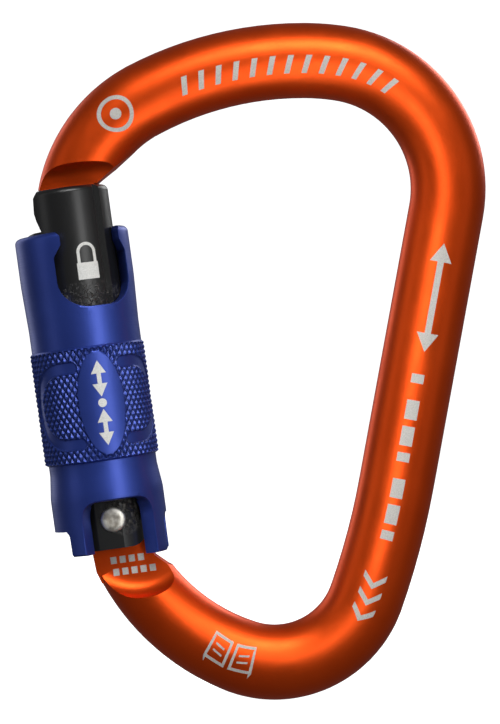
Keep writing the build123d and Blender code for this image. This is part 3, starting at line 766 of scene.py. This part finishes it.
# Sleeve pad: two double arrows either side of a dot. Gate: a padlock.
small_arrow = arrow(length=6.2, width=2.6, line=0.75)
pad_mark = turned(small_arrow, 90, 0, 4.2) + turned(small_arrow, 90, 0, -4.2)
pad_mark += [arc_patch((0, 0), 0.02, 0.75)]
add_mark("mark_pad", pad_mark, turned_surface(PAD_ANGLE, GRIP_MIDDLE, GRIP_RADIUS), WHITE_MARK, "sleeve")
LOCK_ANGLE, LOCK_HEIGHT, GATE_RADIUS = 20.4, 44.9, 7.45
SHACKLE_INNER, SHACKLE_OUTER, SHACKLE_LEG_TOP, CASE_TOP = 1.18, 1.7, 1.5, -0.3
lock = [
    box_patch(-1.9, 1.9, -3.2, CASE_TOP),
    box_patch(-SHACKLE_OUTER, -SHACKLE_INNER, CASE_TOP, SHACKLE_LEG_TOP),
    box_patch(SHACKLE_INNER, SHACKLE_OUTER, CASE_TOP, SHACKLE_LEG_TOP),
    arc_patch((0, SHACKLE_LEG_TOP), SHACKLE_INNER, SHACKLE_OUTER, 0, 180),
]
add_mark("mark_padlock", lock, turned_surface(LOCK_ANGLE, LOCK_HEIGHT, GATE_RADIUS), WHITE_MARK, "gate")


# ------------------------------------------------------------------ floor, light and camera
def add_surround():
    """A pale round floor that curves up into a wall on every side, and glows enough to read as seamless."""
    low = cad_box[0].z - 0.0001
    reach, bend, height = 1.7, 0.5, 2.4
    profile = [(0.02, low), (0.6, low), (reach, low)]
    for a in np.radians(range(6, 91, 6)):
        profile.append((reach + bend * math.sin(a), low + bend * (1 - math.cos(a))))
    profile.append((reach + bend, low + height))
    columns = 96
    turns = np.arange(columns) * 2 * math.pi / columns
    vertices = [(r * math.cos(a), r * math.sin(a), z) for r, z in profile for a in turns]
    faces = grid_faces(len(profile), columns, False, True)
    faces.append(tuple(range(columns - 1, -1, -1)))
    s = Shader("pale_floor", (0.9, 0.9, 0.9), 0.0, 0.9)
    pale = s.mix(s.noise(3, 2), (0.88, 0.88, 0.88), (0.92, 0.92, 0.92))
    s.colour(pale)
    s.link(pale, s.bsdf.inputs["Emission Color"])
    s.bsdf.inputs["Emission Strength"].default_value = 1.15
    floor = add_mesh("floor", vertices, faces, s.material)
    smooth(floor, 60)
    floor.visible_glossy = False
    floor.visible_diffuse = False


def add_light(name, place, target, size, power):
    data = bpy.data.lights.new(name, "AREA")
    data.shape = "RECTANGLE"
    data.size, data.size_y = size
    data.energy = power
    lamp = bpy.data.objects.new(name, data)
    lamp.location = place
    lamp.rotation_euler = (Vector(target) - Vector(place)).to_track_quat("-Z", "Y").to_euler()
    lamp.visible_camera = False
    bpy.context.scene.collection.objects.link(lamp)


add_surround()
# What the camera faces: the middle of the object, as near as its framing needs.
MIDDLE = (-0.0093, 0.0, -0.0462)
CAMERA_DISTANCE, CAMERA_LENS = 0.45, 127.8
add_light("key", (0.03, -0.34, 0.30), MIDDLE, (0.30, 0.14), 1.5)
add_light("front_strip", (0.008, -0.075, -0.045), (0.0, 0, -0.045), (0.028, 0.10), 0.036)
add_light("fill_right", (0.75, -0.55, 0.05), MIDDLE, (0.35, 0.7), 0.30)
add_light("fill_left", (-0.80, -0.35, 0.10), MIDDLE, (0.30, 0.7), 0.45)
add_light("back_left", (-0.45, 0.40, 0.10), MIDDLE, (0.3, 0.5), 0.5)
add_light("back_right", (0.35, 0.50, 0.25), MIDDLE, (0.4, 0.3), 1.1)

world = bpy.data.worlds.new("soft_grey")
world.use_nodes = True
world.node_tree.nodes["Background"].inputs["Color"].default_value = (0.82, 0.84, 0.88, 1)
world.node_tree.nodes["Background"].inputs["Strength"].default_value = 0.14
bpy.context.scene.world = world

camera_data = bpy.data.cameras.new("camera")
camera_data.lens = CAMERA_LENS
camera_data.clip_end = 20
camera = bpy.data.objects.new("camera", camera_data)
camera.location = (MIDDLE[0], -CAMERA_DISTANCE, MIDDLE[2])
camera.rotation_euler = (math.radians(90), 0, 0)
bpy.context.scene.collection.objects.link(camera)
bpy.context.scene.camera = camera
bpy.context.scene.view_settings.view_transform = "Standard"
